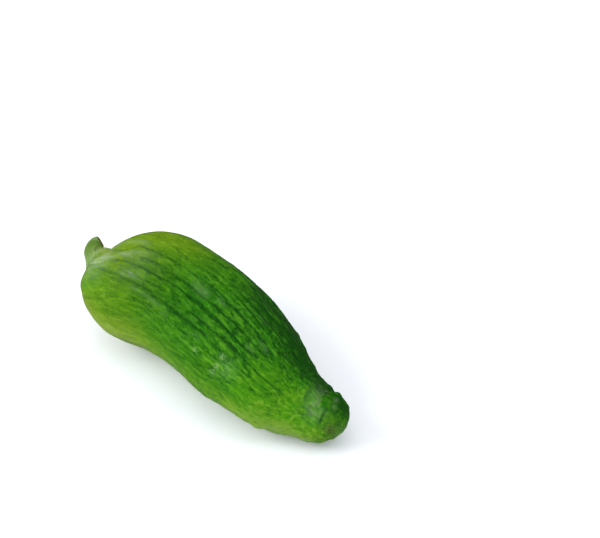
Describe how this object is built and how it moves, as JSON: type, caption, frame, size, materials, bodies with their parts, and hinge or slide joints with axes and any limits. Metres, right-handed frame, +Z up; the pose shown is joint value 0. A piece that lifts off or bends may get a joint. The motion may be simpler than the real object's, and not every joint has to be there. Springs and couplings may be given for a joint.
{
  "type": "stuffing cucumber",
  "caption": "Whole stuffing cucumber with a curled stub of stalk and a hooked beak, lying on its belly.",
  "frame": {"origin": "on the surface that the fruit lies on, under the middle of its bounding box", "axes": "+X along the fruit from the stalk end to the beak, +Y to its left seen from above with the stalk behind, +Z up"},
  "size_m": [0.1524, 0.0584, 0.0542],
  "materials": {
    "skin": "waxy green skin, paler at the stalk end and darkest along the top and at the beak, with broken dark stripes along the veins"
  },
  "bodies": {
    "root": {"cucumber": "skin"}
  },
  "joints": []
}
